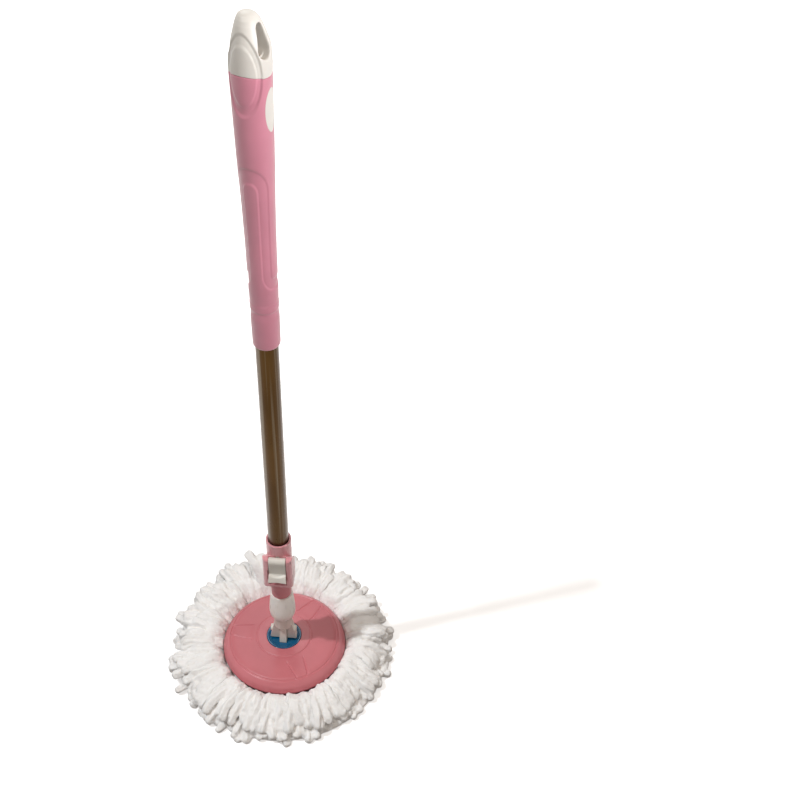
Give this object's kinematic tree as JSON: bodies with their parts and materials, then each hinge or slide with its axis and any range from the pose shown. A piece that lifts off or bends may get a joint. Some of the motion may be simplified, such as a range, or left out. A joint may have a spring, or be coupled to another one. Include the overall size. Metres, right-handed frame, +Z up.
{
  "type": "spin mop",
  "caption": "Spin mop with a round fringed yarn refill under a domed plate, a tilting fork joint and a telescopic hand-press handle with a grip and hang hole.",
  "frame": {"origin": "on the floor, under the middle of the head", "axes": "+Z up along the handle, the lock lever on the -Y side, the tilt pin along X"},
  "size_m": [0.29, 0.29, 0.933],
  "materials": {
    "grip_pink": "satin pink moulded plastic",
    "plate_rose": "satin dusty rose moulded plastic",
    "white_plastic": "satin off-white moulded plastic",
    "nylon": "slightly translucent natural nylon",
    "hub_blue": "glossy teal blue",
    "ring_black": "satin black moulded plastic",
    "yarn_white": "white microfibre chenille yarn",
    "tube_steel": "polished stainless tube, brown from the room it mirrors",
    "bright_steel": "zinc-plated and stainless small parts"
  },
  "bodies": {
    "refill": {"refill_ring": "ring_black", "yarn_bundle_01": "yarn_white", "yarn_bundle_02": "yarn_white", "yarn_bundle_03": "yarn_white", "yarn_bundle_04": "yarn_white", "yarn_bundle_05": "yarn_white", "yarn_bundle_06": "yarn_white", "yarn_bundle_07": "yarn_white", "yarn_bundle_08": "yarn_white", "yarn_bundle_09": "yarn_white", "yarn_bundle_10": "yarn_white", "yarn_bundle_11": "yarn_white", "yarn_bundle_12": "yarn_white", "yarn_bundle_13": "yarn_white", "yarn_bundle_14": "yarn_white", "yarn_bundle_15": "yarn_white", "yarn_bundle_16": "yarn_white", "yarn_bundle_17": "yarn_white", "yarn_bundle_18": "yarn_white", "yarn_bundle_19": "yarn_white", "yarn_bundle_20": "yarn_white"},
    "plate": {"plate_cover": "plate_rose", "plate_base": "plate_rose", "plate_hub": "hub_blue", "hub_post": "white_plastic", "plate_screw_1": "bright_steel", "plate_screw_2": "bright_steel", "plate_screw_3": "bright_steel"},
    "spindle": {"fork": "white_plastic", "hinge_pin": "bright_steel", "bulb_sleeve": "nylon", "ferrule": "plate_rose", "ferrule_screw": "bright_steel", "inner_tube": "bright_steel", "top_bush": "nylon", "lower_ratchet": "nylon", "nut_cage": "white_plastic"},
    "nut": {"drive_nut": "nylon", "clutch_spring": "bright_steel"},
    "guide": {"guide_ring": "white_plastic"},
    "handle": {"outer_tube": "tube_steel", "twisted_rod": "bright_steel", "rod_stop": "nylon", "rod_anchor": "white_plastic", "anchor_pin": "bright_steel", "grip": "grip_pink", "end_cap": "white_plastic", "badge_left": "white_plastic", "badge_right": "white_plastic", "collar": "plate_rose", "clamp_collet": "white_plastic", "lever_pin": "bright_steel"},
    "lever": {"lock_lever": "white_plastic"}
  },
  "joints": [
    {"name": "plate_release", "type": "slide", "parent": "refill", "child": "plate", "axis": [0, 0, 1], "range_m": [0, 0.06]},
    {"name": "handle_tilt", "type": "hinge", "parent": "plate", "child": "spindle", "pos_m": [0, 0, 0.0595], "axis": [1, 0, 0], "range_deg": [-75, 75]},
    {"name": "head_spin", "type": "hinge", "parent": "spindle", "child": "nut", "pos_m": [0, 0, 0.616], "axis": [0, 0, 1], "continuous": true},
    {"name": "handle_stroke", "type": "slide", "parent": "nut", "child": "guide", "axis": [0, 0, 1], "range_m": [0, 0.28]},
    {"name": "rod_twist", "type": "hinge", "parent": "guide", "child": "handle", "pos_m": [0, 0, 0.2], "axis": [0, 0, 1], "range_deg": [-1, 1081]},
    {"name": "lever_lift", "type": "hinge", "parent": "handle", "child": "lever", "pos_m": [0, -0.0189, 0.2145], "axis": [-1, 0, 0], "range_deg": [0, 100]}
  ],
  "couplings": [
    {"joint": "rod_twist", "follows": "handle_stroke", "rad_per_m": 67.32}
  ]
}
